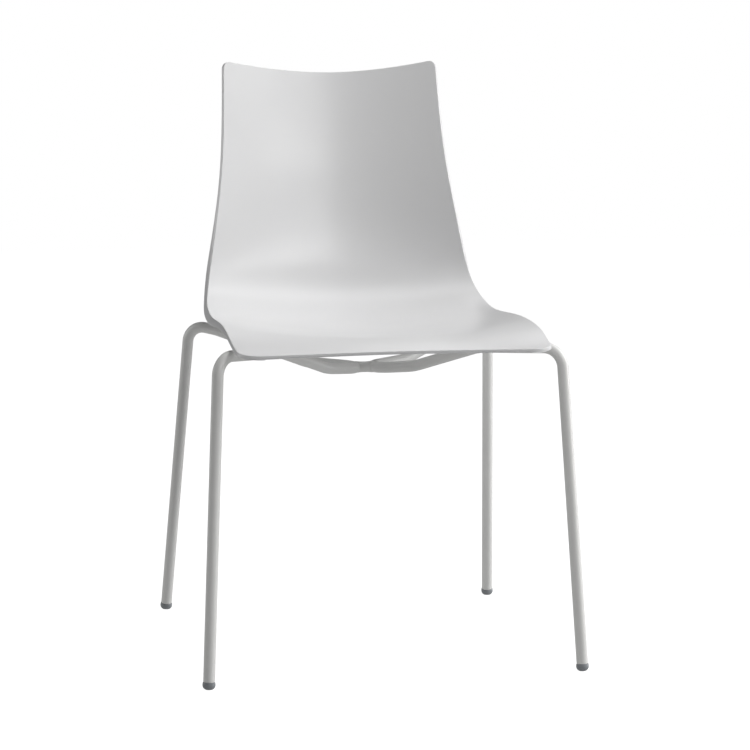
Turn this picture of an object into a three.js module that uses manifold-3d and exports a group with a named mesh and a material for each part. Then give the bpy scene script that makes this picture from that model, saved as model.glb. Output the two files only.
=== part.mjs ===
// Stacking chair: a one-piece moulded seat and back on a bent steel tube frame.
// Millimetres, +Z up, -Y to the front. Left and right are as seen from the front, with the
// right at +X. The origin is on the floor, under the middle of the chair.
import * as THREE from 'three';
import { mergeVertices } from 'three/addons/utils/BufferGeometryUtils.js';
import Module from 'manifold-3d';

const wasm = await Module();
wasm.setup();

// ---- driving dimensions -------------------------------------------------------------------

const GAP = 0.3; // clearance between pieces that touch

const TUBE = { radius: 8, wall: 1.5, outerSides: 16, innerSides: 10 };
const LEG_BEND = 28; // centre-line radius where a leg turns into an arm
const DIP_BEND = 70; // centre-line radius where an arm starts or ends its dip
const APEX_BEND = 35; // centre-line radius where a front arm turns into a rear arm
const BEND_STEP = 13; // degrees between rings round a bend
const MIN_BEND_STEPS = 3;

// Axis points of one side frame, on the +X side of the chair.
const FRAME = {
  frontFoot: [261.9, -254, 0],
  frontCorner: [239.2, -212, 447],
  frontDipStart: [140, -136, 441],
  frontDipEnd: [62, -68, 407],
  apex: [-12, -23, 399.8],
  rearDipEnd: [72, 38, 402.5],
  rearDipStart: [190, 129, 441],
  rearCorner: [226, 157, 447.5],
  rearFoot: [251.8, 256.2, 0],
};

const FOOT = {
  radius: 8.9,
  rimRadius: 8.3, // where the cap meets the end of the tube
  height: 9.9,
  belly: 6.2, // height at which the cap is widest
  sole: 3, // radius of the flat middle of the sole
  sink: 1.5, // depth cut off the round sole so that it stands flat
  stemLength: 22,
  stemSlack: 0.4,
};

const SPREADER = {
  radius: 7,
  beadRadius: 0.9, // how far the weld stands out from the bar
  beadLength: 0.8, // length over which the weld runs down to the bar
  beadFlat: 1.5, // length of the weld's crest beyond the side of the frame's tube
};

const SHELL = {
  thickness: 4.5,
  rimWidth: 4, // width of the thick band along the sides
  rimFlare: 1.5, // how far the band leans outwards over its depth
  dishPower: 2.2, // how squarely the dish rises towards the sides
  frontCorner: 29,
  topCorner: 10,
};

// Sections across the shell, from the front edge over the seat and up to the top edge.
// half = half width, side = [y, z] at the edge, mid = [y, z] on the centre line,
// rim = depth of the shell at its edge.
const SECTIONS = [
  { half: 216.5, side: [-263.3, 453], mid: [-263.3, 454.6], rim: 4.5 },
  { half: 217.5, side: [-234, 455.8], mid: [-238, 461.5], rim: 4.5 },
  { half: 219, side: [-205, 462.8], mid: [-210, 464], rim: 4.5 },
  { half: 219, side: [-163, 471.5], mid: [-163, 462.5], rim: 5 },
  { half: 217, side: [-102, 476.5], mid: [-102, 457.5], rim: 7 },
  { half: 215, side: [-40, 475.5], mid: [-38, 453], rim: 9.5 },
  { half: 211.7, side: [22, 472.6], mid: [27, 450.5], rim: 11 },
  { half: 209.6, side: [64, 473.2], mid: [74, 452.5], rim: 12.5 },
  { half: 208, side: [95, 478], mid: [110, 458.5], rim: 13.5 },
  { half: 205.5, side: [118, 485.7], mid: [145, 473], rim: 13.8 },
  { half: 201, side: [140, 498.5], mid: [172, 498], rim: 13.5 },
  { half: 197, side: [154, 514], mid: [184, 518], rim: 12.5 },
  { half: 192.8, side: [162, 533], mid: [193, 540], rim: 11 },
  { half: 184, side: [172.5, 583], mid: [206, 587], rim: 7 },
  { half: 172, side: [189.5, 660], mid: [220, 661], rim: 5 },
  { half: 165.3, side: [208.5, 730], mid: [233, 728], rim: 5 },
  { half: 160.8, side: [232.5, 830.3], mid: [248, 811.4], rim: 4.5 },
];

const FIXING = {
  front: 140, // distance from the centre line of the chair
  rear: 150,
  reach: 19, // from the tube's axis to the screw's axis
  plate: 3,
  plateWidth: 26,
  hole: 3.3,
};

// The round post under the seat, with webs that spread its load.
const BOSS = {
  tip: 8.5, // radius at the lug
  root: 11, // radius at the seat
  webs: 4,
  webReach: 24,
  webThickness: 3,
  webStart: 6, // height of a web's foot above the post's tip
  rootSink: 1, // how far a web runs into the seat
};

const INSERT = { radius: 4.6, length: 12, waistDepth: 0.6, waistHeight: 1, waistSlope: 0.5 };

const SCREW = {
  shank: 2.7,
  length: 17,
  chamfer: 0.8,
  head: 5.4,
  headHeight: 3.2,
  headFlat: 0.6, // radius of the head's flat face, as a share of the head's radius
  headShoulder: 0.88, // radius of the head partway up, in the same way
  headRim: 0.6, // height of the head's straight side
  socket: 2, // half the distance across the socket's flats
  socketDepth: 2,
};

const WASHER = { radius: 7, thickness: 1.5 };

// ---- materials ----------------------------------------------------------------------------

const finish = (color, roughness, metalness) => () =>
  new THREE.MeshStandardMaterial({ color, roughness, metalness });

const MATERIAL = {
  shell: finish(0xe6e6e6, 0.45, 0),
  paint: finish(0xe2e2e0, 0.4, 0),
  foot: finish(0x6e7276, 0.6, 0),
  screw: finish(0xb9bbbd, 0.3, 1),
  insert: finish(0xb5924c, 0.35, 1),
};

// ---- shared helpers -----------------------------------------------------------------------

const vec = (point) => new THREE.Vector3(...point);

/** Turn a closed geometry into a solid that can be joined and cut. */
function solid(geometry) {
  const bare = geometry.clone();
  bare.deleteAttribute('normal');
  bare.deleteAttribute('uv');
  const merged = mergeVertices(bare, 1e-4);
  return new wasm.Manifold(
    new wasm.Mesh({
      numProp: 3,
      vertProperties: new Float32Array(merged.attributes.position.array),
      triVerts: new Uint32Array(merged.index.array),
    }),
  );
}

/** Turn a solid back into a geometry. */
function geometryOf(body) {
  const mesh = body.getMesh();
  const geometry = new THREE.BufferGeometry();
  geometry.setAttribute('position', new THREE.BufferAttribute(mesh.vertProperties, 3));
  geometry.setIndex(new THREE.BufferAttribute(mesh.triVerts, 1));
  return geometry;
}

/** A turned solid about +Z from [radius, height] points that run upwards. */
function turned(profile, segments = 20) {
  const points = profile.map(([radius, height]) => new THREE.Vector2(radius, height));
  const geometry = new THREE.LatheGeometry(points, segments);
  return geometry.rotateX(Math.PI / 2);
}

/** A solid cone or bar about +Z, between two heights. */
function cone(lowRadius, low, highRadius, high, segments) {
  const profile = [
    [0, low],
    [lowRadius, low],
    [highRadius, high],
    [0, high],
  ];
  return turned(profile, segments);
}

/** A regular polygon as a list of points. */
function polygon(radius, sides) {
  return Array.from({ length: sides }, (_, index) => {
    const angle = (2 * Math.PI * index) / sides;
    return new THREE.Vector2(radius * Math.cos(angle), radius * Math.sin(angle));
  });
}

/** The same geometry on the other side of the chair, with its faces still turned outwards. */
function mirrored(geometry) {
  const copy = geometry.index ? geometry.toNonIndexed() : geometry.clone();
  const position = copy.attributes.position;
  for (let face = 0; face < position.count; face += 3) {
    const corners = [0, 2, 1].map((offset) =>
      new THREE.Vector3().fromBufferAttribute(position, face + offset),
    );
    corners.forEach((corner, offset) =>
      position.setXYZ(face + offset, -corner.x, corner.y, corner.z),
    );
  }
  copy.deleteAttribute('normal');
  copy.deleteAttribute('uv');
  return copy;
}

/** One named piece with a material of its own. */
function named(name, geometry, material) {
  const mesh = new THREE.Mesh(geometry, material());
  mesh.name = name;
  return mesh;
}

// ---- bent tube ----------------------------------------------------------------------------

/** Straight runs joined by round bends, with a station at each place where the tube turns. */
class BentRoute extends THREE.Curve {
  constructor(start, bends, end) {
    super();
    this.stations = [];
    const corners = [start, ...bends.map((bend) => bend.at), end];
    this.add(start, corners[1].clone().sub(start).normalize());
    bends.forEach((bend, index) => {
      const before = bend.at.clone().sub(corners[index]).normalize();
      const after = corners[index + 2].clone().sub(bend.at).normalize();
      this.addBend(bend.at, before, after, bend.radius);
    });
    this.add(end, end.clone().sub(corners[corners.length - 2]).normalize());
  }

  /** Add one station. */
  add(point, tangent) {
    this.stations.push({ point: point.clone(), tangent: tangent.clone() });
  }

  /** Add the stations of a round bend at a corner. */
  addBend(corner, before, after, radius) {
    const turn = before.angleTo(after);
    const reach = radius * Math.tan(turn / 2);
    const start = corner.clone().addScaledVector(before, -reach);
    const axis = before.clone().cross(after).normalize();
    const inward = axis.clone().cross(before);
    const centre = start.clone().addScaledVector(inward, radius);
    const steps = Math.max(MIN_BEND_STEPS, Math.ceil(THREE.MathUtils.radToDeg(turn) / BEND_STEP));
    for (let step = 0; step <= steps; step += 1) {
      const angle = (turn * step) / steps;
      const arm = start.clone().sub(centre).applyAxisAngle(axis, angle);
      this.add(centre.clone().add(arm), before.clone().applyAxisAngle(axis, angle));
    }
  }

  get steps() {
    return this.stations.length - 1;
  }

  getPointAt(u) {
    return this.stations[Math.round(u * this.steps)].point.clone();
  }

  getTangentAt(u) {
    return this.stations[Math.round(u * this.steps)].tangent.clone();
  }
}

/** A bar or tube of round section along a route. */
function swept(route, radius, sides, bore = null) {
  const shape = new THREE.Shape(polygon(radius, sides));
  if (bore) {
    shape.holes.push(new THREE.Path(polygon(bore.radius, bore.sides)));
  }
  return new THREE.ExtrudeGeometry(shape, {
    steps: route.steps,
    bevelEnabled: false,
    extrudePath: route,
  });
}

/** The point on a leg's axis at a height above the floor. */
function legPoint(foot, corner, height) {
  const start = vec(foot);
  const end = vec(corner);
  return start.lerp(end, height / corner[2]);
}

const tubeEndHeight = FOOT.height + GAP;

/** The whole run of one side frame: front leg, two arms and rear leg. */
function sideRoute() {
  return new BentRoute(
    legPoint(FRAME.frontFoot, FRAME.frontCorner, tubeEndHeight),
    [
      { at: vec(FRAME.frontCorner), radius: LEG_BEND },
      { at: vec(FRAME.frontDipStart), radius: DIP_BEND },
      { at: vec(FRAME.frontDipEnd), radius: DIP_BEND },
      { at: vec(FRAME.apex), radius: APEX_BEND },
      { at: vec(FRAME.rearDipEnd), radius: DIP_BEND },
      { at: vec(FRAME.rearDipStart), radius: DIP_BEND },
      { at: vec(FRAME.rearCorner), radius: LEG_BEND },
    ],
    legPoint(FRAME.rearFoot, FRAME.rearCorner, tubeEndHeight),
  );
}

/** One bent side frame, hollow and open at both ends. */
function sideFrame() {
  const bore = { radius: TUBE.radius - TUBE.wall, sides: TUBE.innerSides };
  return swept(sideRoute(), TUBE.radius, TUBE.outerSides, bore);
}

/** The short tube welded between the two side frames, shaped to their bends at both ends. */
function centreSpreader() {
  const around = swept(sideRoute(), TUBE.radius + GAP, TUBE.outerSides);
  const apex = sideRoute().stations.reduce((a, b) => (b.point.x < a.point.x ? b : a)).point;
  const face = apex.x - TUBE.radius;
  const { radius, beadRadius, beadLength, beadFlat } = SPREADER;
  const halfProfile = [
    [radius, beadLength - face],
    [radius + beadRadius / 2, -face],
    [radius + beadRadius, -face - beadFlat],
    [radius + beadRadius, -apex.x],
    [0, -apex.x],
  ];
  const profile = [
    ...halfProfile.toReversed(),
    ...halfProfile.map(([out, along]) => [out, -along]),
  ];
  const bar = turned(profile).rotateY(Math.PI / 2).translate(0, apex.y, apex.z);
  return geometryOf(solid(bar).subtract(solid(around)).subtract(solid(mirrored(around))));
}

// ---- feet ---------------------------------------------------------------------------------

/** A round-bottomed cap with a stem inside the tube and a small flat on the floor. */
function footCap(foot, corner) {
  const { radius, rimRadius, height, belly, sole, sink, stemLength, stemSlack } = FOOT;
  const stem = TUBE.radius - TUBE.wall - stemSlack;
  const draft = 0.15;
  const arcSteps = 6;
  const profile = [
    [0, -sink],
    [sole, -sink],
  ];
  for (let step = 1; step <= arcSteps; step += 1) {
    const angle = (Math.PI / 2) * (step / arcSteps);
    const out = sole + (radius - sole) * Math.sin(angle);
    profile.push([out, belly - (belly + sink) * Math.cos(angle)]);
  }
  profile.push([radius - draft, (belly + height) / 2], [rimRadius, height]);
  profile.push([stem, height], [stem, height + stemLength], [0, height + stemLength]);
  const axis = vec(corner).sub(vec(foot)).normalize();
  const tilt = new THREE.Quaternion().setFromUnitVectors(new THREE.Vector3(0, 0, 1), axis);
  const body = turned(profile).applyQuaternion(tilt).translate(...foot);
  const block = 4 * radius;
  const ground = new THREE.BoxGeometry(block, block, block);
  ground.translate(foot[0], foot[1], -block / 2);
  return geometryOf(solid(body).subtract(solid(ground)));
}

// ---- shell --------------------------------------------------------------------------------

const curveThrough = (points) => new THREE.CatmullRomCurve3(points, false, 'centripetal');
const sideCurve = curveThrough(SECTIONS.map(({ half, side }) => vec([half, ...side])));
const midCurve = curveThrough(SECTIONS.map(({ mid }) => vec([0, ...mid])));
const rimCurve = curveThrough(SECTIONS.map(({ rim }, index) => vec([index, rim, 0])));

/** Half width lost to a rounded corner, at a distance from the end of the shell. */
function cornerLoss(radius, distance) {
  if (distance >= radius) {
    return 0;
  }
  return radius - Math.sqrt(radius * radius - (radius - distance) ** 2);
}

/** A point on the upper face. along runs 0..1 front to top, across runs -1..1. */
function shellPoint(along, across) {
  const side = sideCurve.getPoint(along);
  const mid = midCurve.getPoint(along);
  const fromFront = side.distanceTo(sideCurve.getPoint(0));
  const fromTop = side.distanceTo(sideCurve.getPoint(1));
  const half =
    side.x - cornerLoss(SHELL.frontCorner, fromFront) - cornerLoss(SHELL.topCorner, fromTop);
  const rise = Math.abs((across * half) / side.x) ** SHELL.dishPower;
  return new THREE.Vector3(
    across * half,
    THREE.MathUtils.lerp(mid.y, side.y, rise),
    THREE.MathUtils.lerp(mid.z, side.z, rise),
  );
}

/** The direction square to the upper face, out of it. */
function shellNormal(along, across) {
  const step = 1e-3;
  const lowAlong = Math.max(0, along - step);
  const highAlong = Math.min(1, along + step);
  const lowAcross = Math.max(-1, across - step);
  const highAcross = Math.min(1, across + step);
  const forward = shellPoint(highAlong, across).sub(shellPoint(lowAlong, across));
  const sideways = shellPoint(along, highAcross).sub(shellPoint(along, lowAcross));
  return sideways.cross(forward).normalize();
}

/** Shares of a rounded corner's reach at which it gets a row of points, from its tip. */
const cornerShares = (steps) =>
  Array.from({ length: steps }, (_, step) => 1 - Math.cos((Math.PI / 2) * (step / steps)));

/** Places along the shell where it gets a row of points: closest at the corners and bends. */
function shellRows() {
  const last = SECTIONS.length - 1;
  const longSections = 3; // at the top of the back
  const rows = cornerShares(5);
  for (let section = 1; section < last; section += 1) {
    const steps = section < last - longSections ? 2 : 4;
    for (let step = 0; step < steps; step += 1) {
      rows.push(section + step / steps);
    }
  }
  const topSection = sideCurve.getPoint(1).distanceTo(sideCurve.getPoint((last - 1) / last));
  const topShares = [...cornerShares(5), 1];
  topShares.forEach((share) => rows.push(last - (share * SHELL.topCorner) / topSection));
  return rows.sort((a, b) => a - b).map((row) => row / last);
}

/** Places across the shell: even over the middle, and close together over the rim. */
function shellColumns() {
  const half = 11;
  const meanHalfWidth = 190;
  const inner = 1 - SHELL.rimWidth / meanHalfWidth;
  const columns = [];
  for (let step = -half; step <= half; step += 1) {
    columns.push((inner * step) / half);
  }
  return [-1, ...columns, 1];
}

/** The moulded sheet: an upper face, a lower face and the edge between them. */
function shellSheet() {
  const rows = shellRows();
  const columns = shellColumns();
  const upper = [];
  const lower = [];
  rows.forEach((along) => {
    const rim = rimCurve.getPoint(along).y;
    columns.forEach((across, column) => {
      const point = shellPoint(along, across);
      const edge = column === 0 || column === columns.length - 1;
      const nearEdge = column === 1 || column === columns.length - 2;
      const depth = edge ? rim : nearEdge ? (rim + SHELL.thickness) / 2 : SHELL.thickness;
      const foot = point.clone().addScaledVector(shellNormal(along, across), -depth);
      if (edge) {
        foot.x += Math.sign(across) * SHELL.rimFlare;
      }
      upper.push(point);
      lower.push(foot);
    });
  });
  return sheetGeometry(upper, lower, rows.length, columns.length);
}

/** Close two grids of points, one over the other, into one geometry. */
function sheetGeometry(upper, lower, height, width) {
  const index = [];
  const quad = (a, b, c, d) => index.push(a, b, c, a, c, d);
  const under = upper.length;
  for (let row = 0; row + 1 < height; row += 1) {
    for (let column = 0; column + 1 < width; column += 1) {
      const near = row * width + column;
      const far = near + width;
      quad(near, near + 1, far + 1, far);
      quad(under + near, under + far, under + far + 1, under + near + 1);
    }
    const left = row * width;
    const right = left + width - 1;
    quad(left, left + width, under + left + width, under + left);
    quad(right, under + right, under + right + width, right + width);
  }
  const top = (height - 1) * width;
  for (let column = 0; column + 1 < width; column += 1) {
    quad(column, under + column, under + column + 1, column + 1);
    quad(top + column, top + column + 1, under + top + column + 1, under + top + column);
  }
  const geometry = new THREE.BufferGeometry();
  const position = [...upper, ...lower].flatMap((point) => point.toArray());
  geometry.setAttribute('position', new THREE.Float32BufferAttribute(position, 3));
  geometry.setIndex(index);
  return geometry;
}

/** Height of the seat's upper face above a place on the floor. */
function seatHeight(x, y) {
  const seatEnd = 0.62; // the share of the shell's length that is seat
  const halvings = 30;
  let low = 0;
  let high = seatEnd;
  for (let pass = 0; pass < halvings; pass += 1) {
    const middle = (low + high) / 2;
    const side = sideCurve.getPoint(middle);
    const here = shellPoint(middle, x / side.x);
    if (here.y < y) {
      low = middle;
    } else {
      high = middle;
    }
  }
  return shellPoint(low, x / sideCurve.getPoint(low).x).z;
}

// ---- fixings ------------------------------------------------------------------------------

/** Where one arm carries a fixing: the tube's axis there, its direction and the screw's axis. */
function fixingPlace(outer, inner, distance) {
  const start = vec(outer);
  const end = vec(inner);
  const share = (start.x - distance) / (start.x - end.x);
  const onTube = start.clone().lerp(end, share);
  const run = end.clone().sub(start).setZ(0).normalize();
  const aside = new THREE.Vector3(-run.y, run.x, 0);
  if (aside.y * onTube.y > 0) {
    aside.negate();
  }
  const screw = onTube.clone().addScaledVector(aside, FIXING.reach);
  return { onTube, aside, screw };
}

const PLACES = {
  front: fixingPlace(FRAME.frontDipStart, FRAME.frontDipEnd, FIXING.front),
  rear: fixingPlace(FRAME.rearDipStart, FRAME.rearDipEnd, FIXING.rear),
};

/** The plate welded to the side of an arm, with a round end and a hole for the screw. */
function lug({ onTube, aside, screw }) {
  const half = FIXING.plateWidth / 2;
  const outline = new THREE.Shape();
  outline.moveTo(0, -half);
  outline.lineTo(FIXING.reach, -half);
  outline.absarc(FIXING.reach, 0, half, -Math.PI / 2, Math.PI / 2, false);
  outline.lineTo(0, half);
  outline.closePath();
  const hole = polygon(FIXING.hole, 16).map((point) => point.setX(point.x + FIXING.reach));
  outline.holes.push(new THREE.Path(hole));
  const plate = new THREE.ExtrudeGeometry(outline, {
    depth: FIXING.plate,
    bevelEnabled: false,
    curveSegments: 6,
  });
  plate.rotateZ(Math.atan2(aside.y, aside.x));
  plate.translate(onTube.x, onTube.y, screw.z - FIXING.plate / 2);
  const room = swept(sideRoute(), TUBE.radius + GAP, TUBE.outerSides);
  return geometryOf(solid(plate).subtract(solid(room)));
}

/** The post under the seat that one screw pulls down on its plate, with webs at its root. */
function boss({ screw }) {
  const tip = screw.z + FIXING.plate / 2 + GAP;
  const root = seatHeight(screw.x, screw.y) - SHELL.thickness / 2;
  const segments = 18;
  const post = cone(BOSS.tip, tip, BOSS.root, root, segments);
  const webFoot = tip + BOSS.webStart;
  const webHead = root - BOSS.rootSink;
  const outline = new THREE.Shape([
    new THREE.Vector2(0, webFoot),
    new THREE.Vector2(BOSS.tip, webFoot),
    new THREE.Vector2(BOSS.webReach, webHead),
    new THREE.Vector2(0, webHead),
  ]);
  const web = new THREE.ExtrudeGeometry(outline, { depth: BOSS.webThickness, bevelEnabled: false });
  web.translate(0, 0, -BOSS.webThickness / 2).rotateX(Math.PI / 2).rotateZ(Math.PI / 4);
  let body = solid(post);
  for (let count = 0; count < BOSS.webs; count += 1) {
    body = body.add(solid(web));
    web.rotateZ((2 * Math.PI) / BOSS.webs);
  }
  const bore = INSERT.radius + GAP;
  const mouth = cone(bore, tip - GAP, bore, tip + INSERT.length, segments);
  return body.subtract(solid(mouth)).translate(screw.x, screw.y, 0);
}

/** The threaded insert moulded into a post. */
function insert({ screw }) {
  const { radius, length, waistDepth, waistHeight, waistSlope } = INSERT;
  const low = screw.z + FIXING.plate / 2 + 2 * GAP;
  const high = low + length - 3 * GAP;
  const bore = SCREW.shank + GAP;
  const waist = radius - waistDepth;
  const middle = (low + high) / 2;
  const profile = [
    [bore, low],
    [radius, low],
    [radius, middle - waistHeight],
    [waist, middle - waistHeight + waistSlope],
    [waist, middle + waistHeight - waistSlope],
    [radius, middle + waistHeight],
    [radius, high],
    [bore, high],
    [bore, low],
  ];
  return turned(profile, 16).translate(screw.x, screw.y, 0);
}

/** The washer between a screw's head and its lug. */
function washer({ screw }) {
  const high = screw.z - FIXING.plate / 2 - GAP;
  const low = high - WASHER.thickness;
  const bore = SCREW.shank + GAP;
  const profile = [
    [bore, low],
    [WASHER.radius, low],
    [WASHER.radius, high],
    [bore, high],
    [bore, low],
  ];
  return turned(profile, 20).translate(screw.x, screw.y, 0);
}

/** The button-head screw that goes up through a lug into a post. */
function screw({ screw: axis }) {
  const seat = axis.z - FIXING.plate / 2 - WASHER.thickness - 2 * GAP;
  const { shank, length, chamfer, head, headHeight, socket, socketDepth } = SCREW;
  const low = seat - headHeight;
  const profile = [
    [0, low],
    [head * SCREW.headFlat, low],
    [head * SCREW.headShoulder, low + headHeight / 3],
    [head, seat - SCREW.headRim],
    [head, seat],
    [shank, seat],
    [shank, seat + length - chamfer],
    [shank - chamfer, seat + length],
    [0, seat + length],
  ];
  const hexagon = new THREE.Shape(polygon(socket / Math.cos(Math.PI / 6), 6));
  const key = new THREE.ExtrudeGeometry(hexagon, {
    depth: socketDepth + GAP,
    bevelEnabled: false,
  });
  key.translate(0, 0, low - GAP);
  const body = solid(turned(profile, 16)).subtract(solid(key));
  return geometryOf(body).translate(axis.x, axis.y, 0);
}

/** The sheet with its four posts, as one moulding. */
function seatShell() {
  const posts = Object.values(PLACES).map((place) => boss(place));
  const oneSide = posts[0].add(posts[1]);
  const otherSide = solid(mirrored(geometryOf(oneSide)));
  return geometryOf(solid(shellSheet()).add(oneSide).add(otherSide));
}

// ---- assembly -----------------------------------------------------------------------------

/** Add a piece on the right and its mirror image on the left. */
function addPair(group, name, geometry, material) {
  group.add(named(`${name}_left`, mirrored(geometry), material));
  group.add(named(`${name}_right`, geometry, material));
}

function buildChair() {
  const chair = new THREE.Group();
  chair.add(named('seat_shell', seatShell(), MATERIAL.shell));
  addPair(chair, 'side_frame', sideFrame(), MATERIAL.paint);
  chair.add(named('centre_spreader', centreSpreader(), MATERIAL.paint));
  addPair(chair, 'foot_cap_front', footCap(FRAME.frontFoot, FRAME.frontCorner), MATERIAL.foot);
  addPair(chair, 'foot_cap_rear', footCap(FRAME.rearFoot, FRAME.rearCorner), MATERIAL.foot);
  for (const [end, place] of Object.entries(PLACES)) {
    addPair(chair, `fixing_lug_${end}`, lug(place), MATERIAL.paint);
    addPair(chair, `shell_insert_${end}`, insert(place), MATERIAL.insert);
    addPair(chair, `washer_${end}`, washer(place), MATERIAL.screw);
    addPair(chair, `screw_${end}`, screw(place), MATERIAL.screw);
  }
  return chair;
}

export default buildChair();
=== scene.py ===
"""Stacking chair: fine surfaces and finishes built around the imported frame.

A one-piece moulded seat and back is screwed to two bent steel tubes that are welded together
in the middle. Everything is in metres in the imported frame; sizes are held in millimetres.
"""

import logging
import math
from dataclasses import dataclass
from enum import Enum

import bmesh
import bpy
import numpy as np
from mathutils import Matrix, Vector


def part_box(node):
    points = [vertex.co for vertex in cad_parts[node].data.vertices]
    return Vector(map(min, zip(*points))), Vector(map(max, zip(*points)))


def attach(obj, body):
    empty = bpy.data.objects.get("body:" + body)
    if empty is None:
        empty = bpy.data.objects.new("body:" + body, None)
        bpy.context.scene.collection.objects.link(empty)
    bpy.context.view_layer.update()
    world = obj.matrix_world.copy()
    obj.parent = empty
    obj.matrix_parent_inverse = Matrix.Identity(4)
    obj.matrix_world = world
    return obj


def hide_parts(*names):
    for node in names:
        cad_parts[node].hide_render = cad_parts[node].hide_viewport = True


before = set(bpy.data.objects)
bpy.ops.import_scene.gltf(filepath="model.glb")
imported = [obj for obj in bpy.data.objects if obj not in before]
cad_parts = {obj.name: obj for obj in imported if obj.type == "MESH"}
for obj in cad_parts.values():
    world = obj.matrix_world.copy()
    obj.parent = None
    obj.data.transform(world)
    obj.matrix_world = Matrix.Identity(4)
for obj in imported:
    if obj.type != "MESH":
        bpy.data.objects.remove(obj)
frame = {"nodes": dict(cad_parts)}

LOG = logging.getLogger("stacking_chair")
MM = 0.001
MIDDLE_TONES = (0.3, 0.7)  # range in which most of a noise pattern lies
WAVE_PERIODS = 10 / math.pi  # bands per unit of a wave texture's scale, by half its angle of 20
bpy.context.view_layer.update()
BODY = "root"


class Side(Enum):
    """Half of the chair, as seen from the front."""

    LEFT = -1
    RIGHT = 1

    @property
    def word(self) -> str:
        """The word used in the names of pieces."""
        return self.name.lower()


class End(Enum):
    """Front or rear pair of legs and arms."""

    FRONT = "front"
    REAR = "rear"


# ---- meshes -------------------------------------------------------------------------------


def make_object(name: str, vertices: np.ndarray, faces: list, smooth_angle: float = 40) -> bpy.types.Object:
    """Make a mesh object from points in millimetres.

    Args:
        name: the piece's name.
        vertices: an array of points, in millimetres.
        faces: lists of point numbers, one per face.
        smooth_angle: faces meeting at less than this many degrees shade as one surface.

    Returns:
        The new object, linked to the scene.
    """
    mesh = bpy.data.meshes.new(name)
    mesh.from_pydata([tuple(p) for p in np.asarray(vertices, float) * MM], [], faces)
    work = bmesh.new()
    work.from_mesh(mesh)
    bmesh.ops.recalc_face_normals(work, faces=work.faces)
    for edge in work.edges:
        edge.smooth = edge.calc_face_angle(0) < math.radians(smooth_angle)
    for face in work.faces:
        face.smooth = True
    work.to_mesh(mesh)
    work.free()
    piece = bpy.data.objects.new(name, mesh)
    bpy.context.scene.collection.objects.link(piece)
    return piece


def grid_faces(rows: int, columns: int, start: int = 0, wrap: bool = False, again: bool = False) -> list:
    """Faces of a grid of points.

    Args:
        rows: number of rows of points.
        columns: number of points in each row.
        start: number of the first point.
        wrap: whether the last column joins the first.
        again: whether the last row is the first row met again.

    Returns:
        Four point numbers for each face.
    """
    last = columns if wrap else columns - 1
    faces = []
    for row in range(rows - 1):
        above = 0 if again and row == rows - 2 else row + 1
        for column in range(last):
            after = (column + 1) % columns
            low, high = start + row * columns, start + above * columns
            faces.append([low + column, low + after, high + after, high + column])
    return faces


def lathed(profile: list, segments: int = 48, closed: bool = False) -> tuple:
    """A closed solid turned about the Z axis, or shaped round it.

    Args:
        profile: (radius, height) pairs; a radius, a height or both may be one number per angle.
        segments: number of flats round the axis.
        closed: whether the profile joins itself; otherwise it starts and ends on the axis.

    Returns:
        The points as an array and the faces.
    """
    angles = np.linspace(0, 2 * math.pi, segments, endpoint=False)
    rings = profile if closed else profile[1:-1]
    loops = []
    for radius, height in rings:
        radii = np.broadcast_to(radius, segments)
        heights = np.broadcast_to(height, segments)
        loops.append(np.stack([radii * np.cos(angles), radii * np.sin(angles), heights], axis=1))
    if closed:
        return np.vstack(loops), grid_faces(len(loops) + 1, segments, wrap=True, again=True)
    points = np.vstack([*loops, [[0, 0, profile[0][1]]], [[0, 0, profile[-1][1]]]])
    faces = grid_faces(len(loops), segments, wrap=True)
    base, tip = len(points) - 2, len(points) - 1
    final = (len(loops) - 1) * segments
    for column in range(segments):
        after = (column + 1) % segments
        faces.append([base, after, column])
        faces.append([tip, final + column, final + after])
    return points, faces


def lofted(rings: list) -> tuple:
    """A closed solid through rings of points, with flat ends."""
    count, size = len(rings), len(rings[0])
    last = (count - 1) * size
    faces = grid_faces(count, size, wrap=True)
    faces += [list(range(size))[::-1], list(range(last, last + size))]
    return np.vstack(rings), faces


def joined(*parts: tuple) -> tuple:
    """Put several (points, faces) pairs together as one."""
    points, faces, count = [], [], 0
    for part_points, part_faces in parts:
        points.append(np.asarray(part_points, float))
        faces += [[count + index for index in face] for face in part_faces]
        count += len(part_points)
    return np.vstack(points), faces


def mirrored(part: tuple, side: Side) -> tuple:
    """The same points and faces on the given side of the chair."""
    points, faces = part
    return points * np.array([side.value, 1, 1]), faces


# ---- node graphs --------------------------------------------------------------------------


def linear(code: str, alpha: float = 1.0) -> tuple:
    """Turn an sRGB hex colour into linear red, green, blue and alpha."""
    channels = [int(code[place : place + 2], 16) / 255 for place in (1, 3, 5)]
    return (*[c / 12.92 if c <= 0.04045 else ((c + 0.055) / 1.055) ** 2.4 for c in channels], alpha)


def add_node(tree: bpy.types.NodeTree, kind: str, settings: dict | None = None, links: dict | None = None):
    """Add one node to a graph.

    Args:
        tree: the graph.
        kind: the node's type name.
        settings: values by property name, or by the name or number of an input socket.
        links: output sockets by the name or number of the input socket they feed.

    Returns:
        The new node.
    """
    node = tree.nodes.new(kind)
    for name, value in (settings or {}).items():
        if isinstance(name, str) and hasattr(node, name):
            setattr(node, name, value)
        else:
            node.inputs[name].default_value = value
    for name, source in (links or {}).items():
        tree.links.new(source, node.inputs[name])
    return node


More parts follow.
